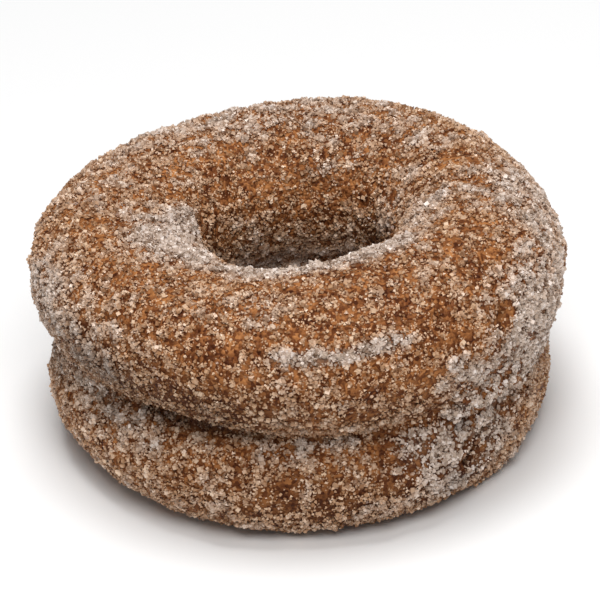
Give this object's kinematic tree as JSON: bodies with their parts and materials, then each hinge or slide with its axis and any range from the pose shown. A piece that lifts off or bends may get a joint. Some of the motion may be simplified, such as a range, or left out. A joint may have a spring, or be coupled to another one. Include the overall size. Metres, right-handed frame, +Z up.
{
  "type": "ring doughnut",
  "caption": "Thick fried cake ring with a two-lobed side, a round hole through the middle and a coarse coat of cinnamon sugar.",
  "frame": {"origin": "centre of the bounding box in plan, on the surface that the ring lies on", "axes": "+Z up, along the axis of the hole; -Y is the side that the picture sees; +X to the right there"},
  "size_m": [0.084, 0.0848, 0.0411],
  "materials": {
    "fried_crust": "matte",
    "sugar": "satin"
  },
  "bodies": {
    "root": {"ring_doughnut": "fried_crust"}
  },
  "joints": []
}
